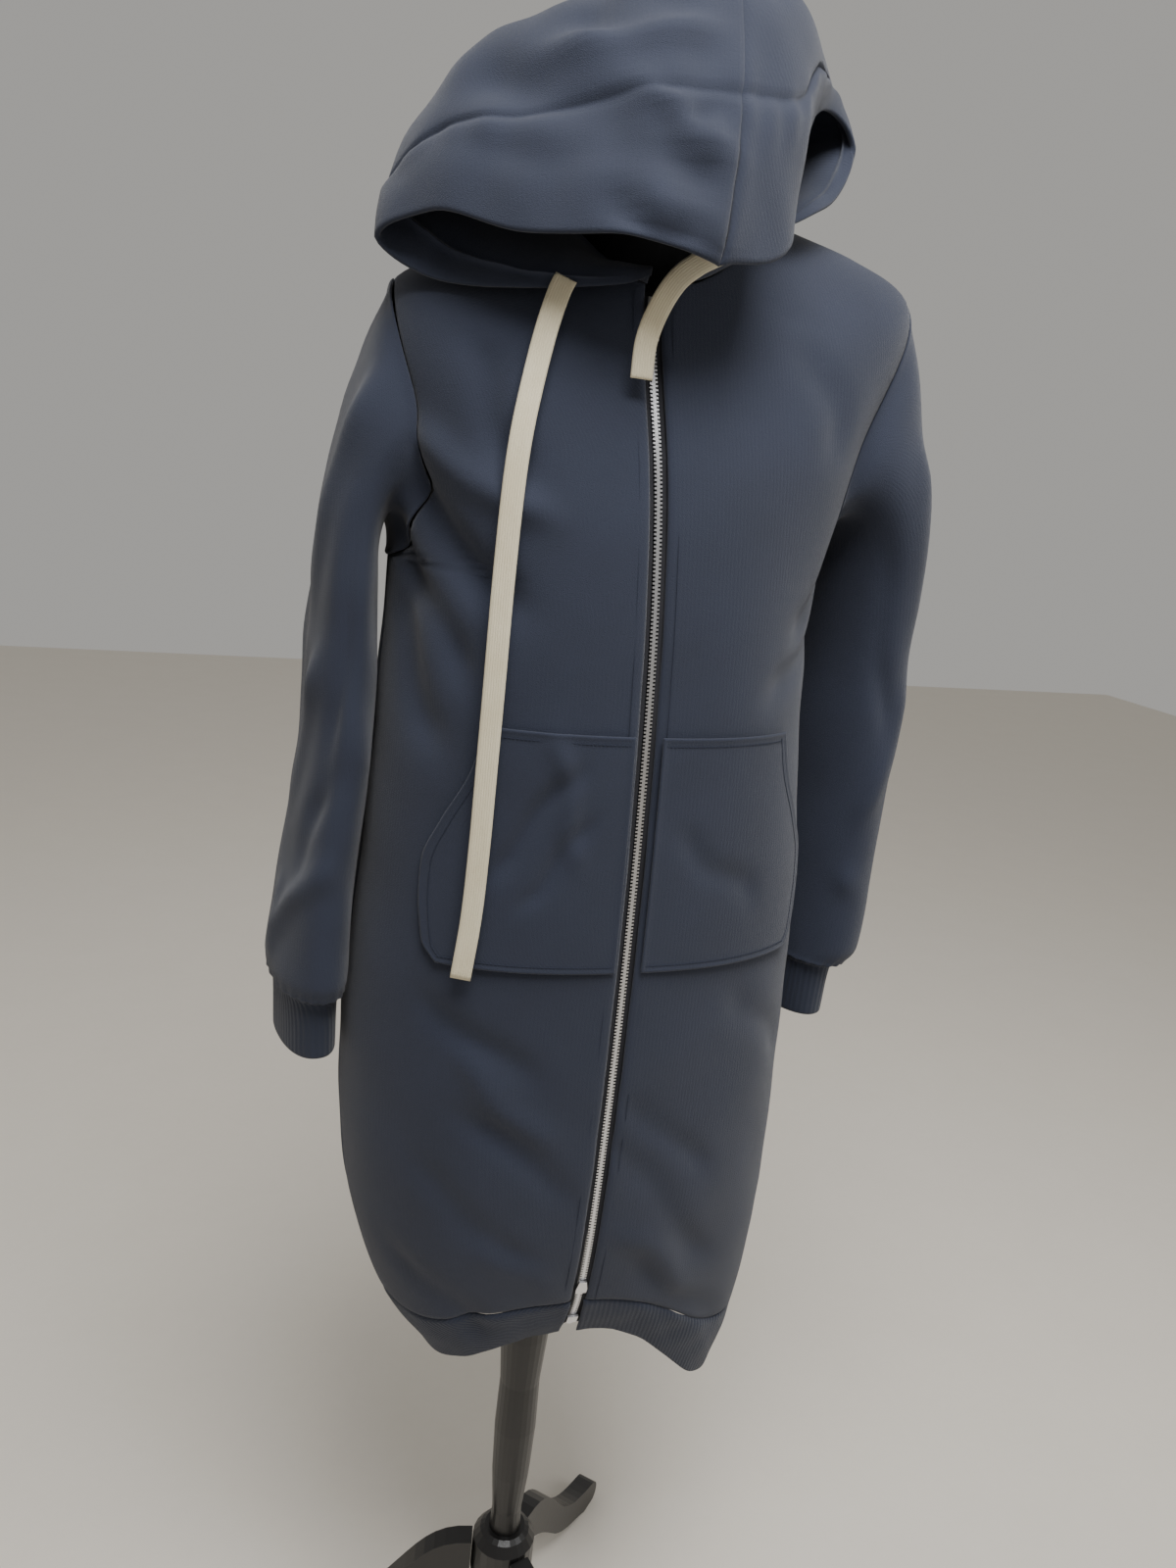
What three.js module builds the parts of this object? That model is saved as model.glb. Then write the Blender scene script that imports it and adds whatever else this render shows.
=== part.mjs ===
// A longline zip-up hooded sweater in thick fleece, on a limbless dress form with a turned pole and
// three carved legs. Millimetres, +Z up, the wearer faces -Y and the wearer's left is +X.
import * as THREE from 'three';

// ---- driving sizes
const WALL = 2.4;            // fleece, brushed inside
const GAP = 0.3;             // air between neighbouring pieces
const LAP = WALL + GAP;      // a seam where one piece lies on the other
const PATCH = LAP + 1.0;     // a pocket on its front, clear of the faceted curve below it
const ZIP_HALF = 7.25;       // front edge to the middle of the zip
const TAPE_W = 15, TAPE_T = 1.0;
const CHAIN_W = 6.4, CHAIN_T = 2.6;
const CORD_W = 16.5, CORD_T = 2.2;
const CASING = 0.86;         // along the hood panel, where the turned casing starts
const CASING_WALL = 4.4;

const deg = Math.PI / 180;
const V = (x, y, z) => new THREE.Vector3(x, y, z);
const signedPow = (a, e) => Math.sign(a) * Math.abs(a) ** e;
const smooth = (a, b, x) => {
  const t = Math.min(Math.max((x - a) / (b - a), 0), 1);
  return t * t * (3 - 2 * t);
};

// the table's row at t (its first column), eased through the rows on both sides
function rowAt(table, t) {
  const last = table.length - 1;
  if (t <= table[0][0]) return table[0].slice(1);
  if (t >= table[last][0]) return table[last].slice(1);
  let i = 0;
  while (table[i + 1][0] < t) i++;
  const [b, c] = [table[i], table[i + 1]];
  const [a, d] = [table[Math.max(i - 1, 0)], table[Math.min(i + 2, last)]];
  const h = c[0] - b[0], s = (t - b[0]) / h, s2 = s * s, s3 = s2 * s;
  return b.slice(1).map((_, n) => {
    const k = n + 1;
    const m1 = i > 0 ? (c[k] - a[k]) / (c[0] - a[0]) * h : c[k] - b[k];
    const m2 = i + 2 <= last ? (d[k] - b[k]) / (d[0] - b[0]) * h : c[k] - b[k];
    return (2 * s3 - 3 * s2 + 1) * b[k] + (s3 - 2 * s2 + s) * m1
      + (3 * s2 - 2 * s3) * c[k] + (s3 - s2) * m2;
  });
}

// ---- the body of the garment: rings from the hem's edge (0) to the neck seam (1)
const BODY = [
  // at  zip_x right left mid_y front back  z_zip z_right z_left z_back power back_x
  [0.00,   3, 128, 186, -10, 104,  92,  514,  478,  436,  470, 2.8, 10],
  [0.06,   3, 170, 206, -10, 124, 106,  566,  540,  515,  545, 2.4,  8],
  [0.15,   3, 199, 213, -10, 137, 114,  645,  640,  636,  640, 2.4,  6],
  [0.30,   4, 210, 206, -10, 141, 117,  800,  800,  800,  800, 2.4,  4],
  [0.45,   3, 199, 196, -10, 141, 108,  960,  960,  960,  960, 2.4,  3],
  [0.58,  -1, 189, 180,  -8, 143,  98, 1100, 1100, 1100, 1100, 2.4,  1],
  [0.69,  -6, 182, 186,  -4, 144,  98, 1205, 1208, 1215, 1215, 2.4,  2],
  [0.79, -11, 188, 212,   0, 138,  98, 1290, 1310, 1335, 1325, 2.5,  8],
  [0.88, -14, 196, 246,   2, 116,  90, 1357, 1406, 1446, 1400, 2.5, 12],
  [0.94, -15, 140, 190,   4, 106,  78, 1392, 1444, 1481, 1445, 2.3, 14],
  [1.00, -15,  76, 104,   5, 100,  62, 1426, 1478, 1500, 1485, 2.1, 16],
];
const DROOP = { left: 52, right: 14, fades: 0.2 };   // how far the hem's front corners hang
// th is 0 at the zip, 90 degrees at the wearer's left side and 180 at the back
function body(th, v) {
  const [zipX, right, left, midY, front, back, zZip, zRight, zLeft, zBack, power, backX] =
    rowAt(BODY, v);
  const c = Math.cos(th), s = Math.sin(th), e = 2 / power;
  const zSide = s > 0 ? zLeft : zRight;
  let z = zSide + ((c > 0 ? zZip : zBack) - zSide) * c * c;
  if (c > 0) z -= (s > 0 ? DROOP.left : DROOP.right) * (2 * s * c) ** 2
    * (1 - smooth(0, DROOP.fades, v));
  const x = zipX + (backX - zipX) * (1 - c) / 2 + (s > 0 ? left : right) * signedPow(s, e);
  return V(x, midY - (c > 0 ? front : back) * signedPow(c, e), z);
}
const bodyOut = (th, v, off) => body(th, v).addScaledVector(normalOf(body, th, v), off);
// the ring angle that lies x mm to the side of the zip's middle
function angleAt(x, v) {
  const [, right, left, , , , , , , , power] = rowAt(BODY, v);
  return Math.sign(x) * Math.asin((Math.abs(x) / (x > 0 ? left : right)) ** (power / 2));
}

// ---- armholes: an oval in the body's rings from the underarm over the front to the shoulder tip
const ARM = { low: 0.69, high: 0.89, front: 26 * deg, back: 28.6 * deg };
const armV = (a) => (ARM.low + ARM.high) / 2 - (ARM.high - ARM.low) / 2 * Math.cos(a);
const frontEdge = (a) => Math.PI / 2 - ARM.front * Math.sin(a);
const backEdge = (a) => Math.PI / 2 + ARM.back * Math.sin(a);
function armhole(side, k) {
  const a = 2 * Math.PI * k;
  const th = a < Math.PI ? frontEdge(a) : backEdge(2 * Math.PI - a);
  return bodyOut(side * th, armV(a), LAP);
}

// ---- sleeves: rings down each hanging arm, long axis turned from front-to-back
const SLEEVES = {
  right: [
    // at    x    y     z  long short turn
    [0.00, -208,   2, 1330, 86, 12,   0],
    [0.14, -218,   4, 1255, 78, 20,   0],
    [0.30, -220,   2, 1150, 70, 25,   0],
    [0.50, -222,  -2, 1050, 68, 26,  -4],
    [0.75, -234,  -6,  940, 66, 26,  -8],
    [0.94, -240, -10,  858, 66, 29, -10],
    [1.00, -240, -10,  842, 60, 26, -10],
    [1.05, -240, -10,  836, 52, 23, -10],
    [1.20, -239, -10,  784, 50, 22, -10],
  ],
  left: [
    [0.00,  226,   0, 1365, 86, 40,   0],
    [0.14,  236,   2, 1290, 80, 34,  10],
    [0.30,  245,   8, 1180, 70, 34,  22],
    [0.50,  248,  10, 1080, 68, 34,  26],
    [0.75,  250,   8,  965, 66, 33,  26],
    [0.94,  248,   4,  866, 64, 32,  24],
    [1.00,  244,   2,  848, 54, 27,  20],
    [1.05,  242,   2,  842, 46, 23,  20],
    [1.20,  240,   2,  790, 44, 22,  20],
  ],
};
const SLEEVE_BLEND = 0.22, UNDERARM_DIP = 30, SLEEVE_POWER = 2.3;
// k is 0 under the arm, 0.25 at the front, 0.5 outside and 0.75 at the back
function sleeve(side, k, t) {
  const [x, y, z, long, short, turn] = rowAt(SLEEVES[side > 0 ? 'left' : 'right'], t);
  const al = 2 * Math.PI * k, tr = turn * deg, e = 2 / SLEEVE_POWER;
  const out = -short * signedPow(Math.cos(al), e), along = -long * signedPow(Math.sin(al), e);
  const p = V(
    x + side * (out * Math.cos(tr) - along * Math.sin(tr)),
    y + out * Math.sin(tr) + along * Math.cos(tr),
    z - UNDERARM_DIP * Math.cos(al) * (1 - smooth(0, 0.25, t)));
  const m = Math.sin(Math.PI / 2 * Math.min(1, Math.max(0, t / SLEEVE_BLEND)));
  return m < 1 ? armhole(side, k).lerp(p, m) : p;
}

// ---- hood: two panels from the neck seam to the rim, slumped forward over the neck
const RIM_RIGHT = [
  // at    x     y     z    (degrees round from the zip; -180 is the middle of the forehead)
  [-180,   0, -178, 1432],
  [-150, -60, -172, 1443],
  [-125, -130, -135, 1440],
  [-105, -180, -100, 1450],
  [-88, -213,  -62, 1434],
  [-70, -180,  -72, 1412],
  [-45, -120,  -98, 1410],
  [-20,  -50, -112, 1420],
  [0,    -18, -110, 1432],
];
const RIM_LEFT = [
  [0,    -12, -110, 1432],
  [25,    30, -104, 1452],
  [50,    85,  -84, 1480],
  [72,   140,  -56, 1512],
  [90,   165,  -30, 1556],
  [108,  130,  -40, 1578],
  [128,   90,  -90, 1545],
  [150,   60, -150, 1455],
  [180,    0, -178, 1432],
];
// how each line from neck to rim leaves the neck (rise) and comes over to the rim (over)
const HOOD_LINES = [
  // at   rise_x _y  _z   over_x _y  _z
  [-180,   0, 43, 245,  42,  38, 314],
  [-150, -20, 30, 190,   0,  45, 262],
  [-120, -40, 10, 127, -28,  37, 202],
  [-88,  -38, 20,  52,  -2,  43, 105],
  [-45,  -25,  0,  10,  10,   0,  25],
  [0,      0, -6,  10,   0,  -2,  12],
  [45,    15, -5,  10,  -5,   0,  10],
  [90,    20, 20,  40,  -5,  30,  45],
  [120,   10, 20, 128,  25, -10,  93],
  [150,    5, 20, 214,  18,  22, 278],
  [180,    0, 43, 245,  42,  38, 314],
];
function hood(ph, t) {
  const at = ph / deg;
  const n = bodyOut(ph, 1, LAP), r = V(...rowAt(at < 0 ? RIM_RIGHT : RIM_LEFT, at));
  const h = rowAt(HOOD_LINES, at), s = 1 - t;
  const rise = V(h[0], h[1], h[2]).add(n), over = V(h[3], h[4], h[5]).add(r);
  return n.multiplyScalar(s ** 3).addScaledVector(rise, 3 * s * s * t)
    .addScaledVector(over, 3 * s * t * t).addScaledVector(r, t ** 3);
}

// ---- solids
function normalOf(f, u, v) {
  const d = 1e-3;
  const fu = f(u + d, v).sub(f(u - d, v)), fv = f(u, v + d).sub(f(u, v - d));
  return fu.cross(fv).normalize();
}
const steps = (a, b, n) => Array.from({ length: n + 1 }, (_, i) => a + (b - a) * i / n);

// A wall of even thickness on the grid of points p[i][j], with out[i][j] the way its face looks.
// trim pulls the borders in at a seam: [first i, last i, first j, last j]. ring joins last i to first.
function wall(p, out, thick, { ring = false, trim = [0, 0, 0, 0] } = {}) {
  const ni = p.length, nj = p[0].length;
  const q = p.map((row) => row.map((x) => x.clone()));
  const pull = (i, j, ii, jj, by) => q[i][j].addScaledVector(p[ii][jj].clone().sub(p[i][j]).normalize(), by);
  for (let j = 0; j < nj; j++) {
    if (!ring) { pull(0, j, 1, j, trim[0]); pull(ni - 1, j, ni - 2, j, trim[1]); }
  }
  for (let i = 0; i < ni; i++) { pull(i, 0, i, 1, trim[2]); pull(i, nj - 1, i, nj - 2, trim[3]); }
  const pos = [], idx = [];
  const t = (i, j) => (typeof thick === 'function' ? thick(i, j) : thick) / 2;
  for (const sgn of [1, -1]) for (let i = 0; i < ni; i++) for (let j = 0; j < nj; j++) {
    const w = q[i][j].clone().addScaledVector(out[i][j], sgn * t(i, j));
    pos.push(w.x, w.y, w.z);
  }
  const at = (i, j, face) => face * ni * nj + (i % ni) * nj + j;
  const quad = (a, b, c, d) => idx.push(a, b, c, a, c, d);
  const iEnd = ring ? ni : ni - 1;
  for (let i = 0; i < iEnd; i++) for (let j = 0; j < nj - 1; j++) {
    quad(at(i, j, 0), at(i + 1, j, 0), at(i + 1, j + 1, 0), at(i, j + 1, 0));
    quad(at(i, j, 1), at(i, j + 1, 1), at(i + 1, j + 1, 1), at(i + 1, j, 1));
  }
  for (let i = 0; i < iEnd; i++) {
    quad(at(i, 0, 1), at(i + 1, 0, 1), at(i + 1, 0, 0), at(i, 0, 0));
    quad(at(i, nj - 1, 0), at(i + 1, nj - 1, 0), at(i + 1, nj - 1, 1), at(i, nj - 1, 1));
  }
  if (!ring) for (let j = 0; j < nj - 1; j++) {
    quad(at(0, j, 0), at(0, j + 1, 0), at(0, j + 1, 1), at(0, j, 1));
    quad(at(ni - 1, j, 1), at(ni - 1, j + 1, 1), at(ni - 1, j + 1, 0), at(ni - 1, j, 0));
  }
  const g = new THREE.BufferGeometry();
  g.setAttribute('position', new THREE.Float32BufferAttribute(pos, 3));
  g.setIndex(idx);
  return g;
}
// the same, straight from a surface f(u, v) sampled at us and vs, moved out by off
function surfaceWall(f, us, vs, thick, opts = {}) {
  const out = us.map((u) => vs.map((v) => normalOf(f, u, v).multiplyScalar(opts.flip ? -1 : 1)));
  const p = us.map((u, i) => vs.map((v, j) => f(u, v).addScaledVector(out[i][j], opts.off ?? 0)));
  return wall(p, out, thick, opts);
}
// a closed solid through rings of points, capped flat at both ends
function loft(rings) {
  const n = rings[0].length, pos = [], idx = [];
  for (const r of rings) for (const p of r) pos.push(p.x, p.y, p.z);
  for (let r = 0; r < rings.length - 1; r++) for (let i = 0; i < n; i++) {
    const a = r * n + i, b = r * n + (i + 1) % n;
    idx.push(a, b, b + n, a, b + n, a + n);
  }
  for (const [r, up] of [[0, false], [rings.length - 1, true]]) {
    const c = rings[r].reduce((s, p) => s.add(p), V(0, 0, 0)).multiplyScalar(1 / n);
    pos.push(c.x, c.y, c.z);
    const m = pos.length / 3 - 1;
    for (let i = 0; i < n; i++) {
      const a = r * n + i, b = r * n + (i + 1) % n;
      idx.push(m, up ? a : b, up ? b : a);
    }
  }
  const g = new THREE.BufferGeometry();
  g.setAttribute('position', new THREE.Float32BufferAttribute(pos, 3));
  g.setIndex(idx);
  return g;
}

const garment = new THREE.Group();
function add(name, geometry, color, roughness, metalness = 0) {
  const mesh = new THREE.Mesh(geometry, new THREE.MeshStandardMaterial({ color, roughness, metalness }));
  mesh.name = name;
  garment.add(mesh);
  return mesh;
}
const NAVY = 0x232b3f, RIB = 0x20283b, CREAM = 0xded6b6, TAPE = 0x1b1c22, STEEL = 0xc4c5c8;
const WOOD = 0x121212, JERSEY = 0x1a1a1c;

// ---- body panels: two fronts and a back, joined at the sides and shoulders
const HEM = 0.055;                           // where the hem band is sewn on
const ARM_ROWS = steps(0, Math.PI, 10).map(armV);
const PANEL_ROWS = [...steps(HEM, ARM.low, 10), ...ARM_ROWS.slice(1), 0.925, 0.962, 1.0];
const armAngle = (v) => v <= ARM.low || v >= ARM.high ? 0
  : Math.acos(Math.min(1, Math.max(-1, ((ARM.low + ARM.high) / 2 - v) / ((ARM.high - ARM.low) / 2))));
const SEAM = GAP / 2;
const frontAngles = (side, v) => {
  const edge = angleAt(side * ZIP_HALF, v);
  return steps(0, 1, 9).map((u) => edge + (side * frontEdge(armAngle(v)) - edge) * u ** 0.9);
};
const backAngles = (v) => {
  const th = backEdge(armAngle(v));
  return steps(th, 2 * Math.PI - th, 16);
};
// a panel of the body from its ring angles at each row
function panel(name, anglesAt, trim, reverse) {
  const rows = PANEL_ROWS.map((v) => anglesAt(v));
  const grid = (f) => rows[0].map((_, i) => PANEL_ROWS.map((v, j) => f(rows[j][i], v)));
  const p = grid(body), out = grid((th, v) => normalOf(body, th, v));
  if (reverse) { p.reverse(); out.reverse(); }
  add(name, wall(p, out, WALL, { trim }), NAVY, 0.92);
}
panel('front_left', (v) => frontAngles(1, v), [0, SEAM, SEAM, 0], false);
panel('front_right', (v) => frontAngles(-1, v), [SEAM, 0, SEAM, 0], true);
panel('back', backAngles, [SEAM, SEAM, SEAM, 0], false);
const hemAngles = [...frontAngles(1, HEM), ...backAngles(HEM).slice(1),
  ...frontAngles(-1, HEM).reverse().slice(1).map((th) => th + 2 * Math.PI)];
add('hem_band', surfaceWall(body, hemAngles, [0, 0.018, 0.036, HEM], WALL,
  { trim: [0, 0, 0, SEAM] }), RIB, 0.94);

// ---- pockets: a kangaroo pocket in two halves, each lying on its front
const POCKET = [
  // at    v     reach (mm from the zip's middle to the outer edge)
  [0.00, 0.393, 150],
  [0.08, 0.408, 160],
  [0.42, 0.470, 162],
  [0.60, 0.503, 150],
  [0.80, 0.540, 132],
  [1.00, 0.577, 122],
];
for (const [name, side, more] of [['pocket_left', 1, 8], ['pocket_right', -1, 0]]) {
  const at = (u, b) => {
    const [v, reach] = rowAt(POCKET, b);
    return bodyOut(angleAt(side * (ZIP_HALF + 4 + (reach + more - ZIP_HALF - 4) * u), v), v, PATCH);
  };
  const us = steps(0, 1, 8);
  add(name, surfaceWall(at, side > 0 ? us : us.reverse(), steps(0, 1, 8), WALL, { flip: side < 0 }), NAVY, 0.92);
}

// ---- sleeves and their ribbed cuffs
const SLEEVE_ROWS = [0, 0.03, 0.07, 0.12, 0.18, 0.25, 0.35, 0.5, 0.65, 0.8, 0.92, 1.0];
const CUFF_ROWS = [1.0, 1.04, 1.12, 1.2];
for (const [name, side] of [['right', -1], ['left', 1]]) {
  const ks = steps(0, 1, 20).slice(0, 20), f = (k, t) => sleeve(side, k, t);
  if (side < 0) ks.reverse();
  const opts = { ring: true, flip: side < 0 };
  add(`sleeve_${name}`, surfaceWall(f, ks, SLEEVE_ROWS, WALL, { ...opts, trim: [0, 0, 0, SEAM] }), NAVY, 0.92);
  add(`cuff_${name}`, surfaceWall(f, ks, CUFF_ROWS, WALL, { ...opts, trim: [0, 0, 2 * SEAM, 0] }), RIB, 0.94);
}

// ---- hood panels, thick where the front edge is turned in as a casing for the cord
const HOOD_ROWS = [0, 0.06, 0.14, 0.24, 0.35, 0.46, 0.57, 0.68, 0.78, CASING, CASING + 0.02, 1];
for (const [name, side] of [['hood_left', 1], ['hood_right', -1]]) {
  const us = steps(side * angleAt(ZIP_HALF + 1, 1), side * Math.PI, 14);
  if (side < 0) us.reverse();
  const p = us.map((u) => HOOD_ROWS.map((t) => hood(u, t)));
  const out = us.map((u) => HOOD_ROWS.map((t) => {
    if (Math.abs(u) < Math.PI) return normalOf(hood, u, t);
    const e = 4e-3;
    return normalOf(hood, Math.PI - e, t).add(normalOf(hood, e - Math.PI, t)).normalize();
  }));
  const trim = side > 0 ? [0, 2 * SEAM, 0, 0] : [2 * SEAM, 0, 0, 0];
  add(name, wall(p, out, (i, j) => HOOD_ROWS[j] > CASING ? CASING_WALL : WALL, { trim }), NAVY, 0.92);
}

// ---- zip: two tapes under the front edges, the closed chain, two sliders, the box and a pull tab
const ZIP_OFF = -(WALL / 2 + 1.4 + TAPE_T / 2), ZIP_ROWS = steps(0.012, 0.985, 22);
const ribbon = (x0, x1, rows, off, thick) => surfaceWall(
  (x, v) => body(angleAt(x, v), v), x0 < 0 && x1 > 0 ? [x0, -0.01, x1] : [x0, x1], rows, thick, { off });
add('zip_tape_left', ribbon(CHAIN_W / 2 + GAP, CHAIN_W / 2 + GAP + TAPE_W, ZIP_ROWS, ZIP_OFF, TAPE_T), TAPE, 0.9);
add('zip_tape_right', ribbon(-CHAIN_W / 2 - GAP - TAPE_W, -CHAIN_W / 2 - GAP, ZIP_ROWS, ZIP_OFF, TAPE_T), TAPE, 0.9);
add('zip_chain', ribbon(-CHAIN_W / 2, CHAIN_W / 2, ZIP_ROWS, ZIP_OFF, CHAIN_T), STEEL, 0.35, 1);

// moves a piece made flat (x across, y up the zip, z out of the cloth) onto the zip at v
function onZip(geometry, v, off) {
  const here = body(0, v), up = body(0, v + 0.01).sub(body(0, v - 0.01)).setX(0).normalize();
  const across = V(1, 0, 0), out = across.clone().cross(up);
  const m = new THREE.Matrix4().makeBasis(across, up, out);
  return geometry.applyMatrix4(m.setPosition(here.addScaledVector(out, off)));
}
function plate(outline, hole, depth) {
  const shape = new THREE.Shape(outline.map(([x, y]) => new THREE.Vector2(x, y)));
  if (hole) shape.holes.push(new THREE.Path(hole.map(([x, y]) => new THREE.Vector2(x, y))));
  return new THREE.ExtrudeGeometry(shape, { depth, bevelEnabled: false });
}
const rect = (x0, y0, x1, y1) => [[x0, y0], [x1, y0], [x1, y1], [x0, y1]];
const SLIDER = { top: 0.972, low: 0.078, thick: 2.4, off: ZIP_OFF + CHAIN_T / 2 + 0.5 };
const shield = [[-3.6, -7], [3.6, -7], [5.4, 2], [5.0, 7], [-5.0, 7], [-5.4, 2]];
add('slider_top', onZip(plate(shield, null, SLIDER.thick), SLIDER.top, SLIDER.off), STEEL, 0.3, 1);
add('slider_low', onZip(plate(shield.map(([x, y]) => [x, -y]).reverse(), null, SLIDER.thick),
  SLIDER.low, SLIDER.off), STEEL, 0.3, 1);
add('zip_box', onZip(plate(rect(-5, -5, 5, 5), null, 2.2), 0.024, SLIDER.off), STEEL, 0.3, 1);
const ARCH = { half: 4.2, wall: 1.2, high: 4.4, wide: 3.0 };
const archBase = SLIDER.off + SLIDER.thick + 0.05;
const bridge = plate(
  [[-ARCH.half, 0], [-ARCH.half, ARCH.high], [ARCH.half, ARCH.high], [ARCH.half, 0],
    [ARCH.half - ARCH.wall, 0], [ARCH.half - ARCH.wall, ARCH.high - ARCH.wall],
    [ARCH.wall - ARCH.half, ARCH.high - ARCH.wall], [ARCH.wall - ARCH.half, 0]], null, ARCH.wide);
bridge.translate(0, 0, -ARCH.wide / 2).applyMatrix4(new THREE.Matrix4().makeBasis(V(0, 1, 0), V(0, 0, 1), V(1, 0, 0)));
add('slider_bridge', onZip(bridge, SLIDER.top, archBase), STEEL, 0.3, 1);
const TAB = { long: 26, wide: 8, thick: 1.5, bar: 0.8, hole: 4.4 };
const tabOutline = [[-TAB.hole / 2 - 1.2, TAB.bar], [-TAB.wide / 2, -6], [-TAB.wide / 2, -TAB.long + 2],
  [-TAB.wide / 2 + 2, -TAB.long], [TAB.wide / 2 - 2, -TAB.long], [TAB.wide / 2, -TAB.long + 2],
  [TAB.wide / 2, -6], [TAB.hole / 2 + 1.2, TAB.bar]];
const tab = plate(tabOutline, rect(-TAB.hole / 2, -TAB.bar - 4.6, TAB.hole / 2, -TAB.bar), TAB.thick);
add('pull_tab', onZip(tab, SLIDER.top, archBase + 0.4), STEEL, 0.3, 1);

// ---- drawcord: a flat woven tape with a short and a long free end
// rows give the middle of the tape; x, y, z
const CORD_LONG = [
  [-87, -108.8, 1420], [-92, -110.8, 1409], [-100, -117, 1385], [-108, -124, 1352], [-116, -132, 1310],
  [-120, -136, 1265], [-122, -138, 1200], [-123, -140, 1130], [-124, -141, 1060], [-125, -142, 1000],
  [-127, -142, 945], [-132, -142, 893],
];
const CORD_SHORT = [
  [36, -106.8, 1456], [20, -114, 1448], [6, -121, 1440], [-10, -128, 1427], [-22, -131, 1408],
  [-30, -132, 1384], [-31, -132, 1357],
];
function tape(points, n, lean) {
  const curve = new THREE.CatmullRomCurve3(points.map((p) => V(...p)));
  const at = steps(0, 1, n).map((s) => [curve.getPointAt(s), curve.getTangentAt(s)]);
  const across = at.map(([, d]) => d.clone().cross(V(lean, -1, 0)).normalize());
  const p = [-0.5, 0.5].map((e) => at.map(([c], j) => c.clone().addScaledVector(across[j], e * CORD_W)));
  const out = [0, 1].map(() => at.map(([, d], j) => across[j].clone().cross(d).normalize()));
  return wall(p, out, CORD_T);
}
add('drawcord_long', tape(CORD_LONG, 26, -0.35), CREAM, 0.95);
add('drawcord_short', tape(CORD_SHORT, 9, -0.1), CREAM, 0.95);

// ---- dress form: shoulders to hips and a capped neck, then the pole, the hub and three legs
const FORM = [
  // v in the body's rings, how far inside the cloth
  [0.275, 75], [0.278, 50], [0.29, 36], [0.34, 28], [0.45, 22], [0.58, 15], [0.69, 12], [0.79, 9],
  [0.855, 6], [0.895, 4.6], [0.93, 3.0], [0.96, 3.0], [0.985, 5], [1.0, 12],
];
const NECK = [
  // z radius
  [1504, 54], [1530, 52], [1565, 51], [1585, 44], [1593, 26],
];
const FORM_ZIP_CLEAR = 6;              // further in behind the zip
const FORM_SIDES = 30, NECK_MID = [6, 6];
const around = steps(0, 2 * Math.PI, FORM_SIDES).slice(0, FORM_SIDES);
add('form_torso', loft([
  ...FORM.map(([v, inside]) => around.map((th) => bodyOut(th + 0.01, v,
    -inside - FORM_ZIP_CLEAR * Math.max(0, Math.cos(th)) ** 2))),
  ...NECK.map(([z, r]) => around.map((th) => V(NECK_MID[0] + r * Math.sin(th), NECK_MID[1] - r * Math.cos(th), z))),
]), JERSEY, 0.9);
const turned = (pairs) => new THREE.LatheGeometry(pairs.map(([r, z]) => new THREE.Vector2(r, z)), 24)
  .rotateX(Math.PI / 2);
add('pole', turned([[0, 164], [17, 164], [16, 190], [20, 240], [22, 300], [21, 360], [25, 420], [26, 470],
  [20, 520], [18, 600], [18, 772.4], [0, 772.4]]), WOOD, 0.35);
add('hub', turned([[0, 96], [28, 96], [34, 104], [34, 150], [27, 160], [22, 163.7], [0, 163.7]]), WOOD, 0.35);
const LEG = { thick: 22, reach: 236 };
for (const [name, dir] of [['leg_back', 45], ['leg_right', 165], ['leg_left', 285]]) {
  const s = new THREE.Shape();
  s.moveTo(34.6, 146);
  s.bezierCurveTo(80, 148, 95, 118, 128, 78);
  s.bezierCurveTo(152, 50, 178, 40, LEG.reach - 16, 30);
  s.bezierCurveTo(LEG.reach, 26, LEG.reach + 2, 6, LEG.reach - 10, 0);
  s.lineTo(LEG.reach - 34, 0);
  s.bezierCurveTo(184, 12, 150, 16, 118, 44);
  s.bezierCurveTo(88, 74, 66, 102, 34.6, 104);
  const g = new THREE.ExtrudeGeometry(s, { depth: LEG.thick, bevelEnabled: false, curveSegments: 8 });
  g.translate(0, 0, -LEG.thick / 2).rotateX(Math.PI / 2).rotateZ(dir * deg);
  add(name, g, WOOD, 0.35);
}

// the origin is on the floor under the middle of the whole
const box = new THREE.Box3().setFromObject(garment);
garment.position.set(-(box.min.x + box.max.x) / 2, -(box.min.y + box.max.y) / 2, -box.min.z);

export default garment;
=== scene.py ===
import math

import bpy
import numpy as np
from mathutils import Matrix, Vector


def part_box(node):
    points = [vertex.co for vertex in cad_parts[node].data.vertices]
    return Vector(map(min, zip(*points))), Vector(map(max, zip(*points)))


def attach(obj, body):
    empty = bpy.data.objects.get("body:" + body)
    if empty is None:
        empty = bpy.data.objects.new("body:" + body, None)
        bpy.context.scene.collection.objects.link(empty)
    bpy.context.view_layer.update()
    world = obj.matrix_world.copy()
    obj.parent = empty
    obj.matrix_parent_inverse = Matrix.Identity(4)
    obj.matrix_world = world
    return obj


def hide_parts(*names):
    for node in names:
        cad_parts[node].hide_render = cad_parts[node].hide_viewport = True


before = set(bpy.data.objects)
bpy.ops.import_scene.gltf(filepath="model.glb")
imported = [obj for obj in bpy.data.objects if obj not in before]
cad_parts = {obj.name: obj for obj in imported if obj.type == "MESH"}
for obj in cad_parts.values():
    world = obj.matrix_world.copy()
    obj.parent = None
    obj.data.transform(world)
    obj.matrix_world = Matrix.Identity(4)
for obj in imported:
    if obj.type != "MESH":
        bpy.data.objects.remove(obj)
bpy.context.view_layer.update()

# ---- Camera, floor and light: the sweater is seen from its right front, from just above the chest.
POLE_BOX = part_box("pole")
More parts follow.
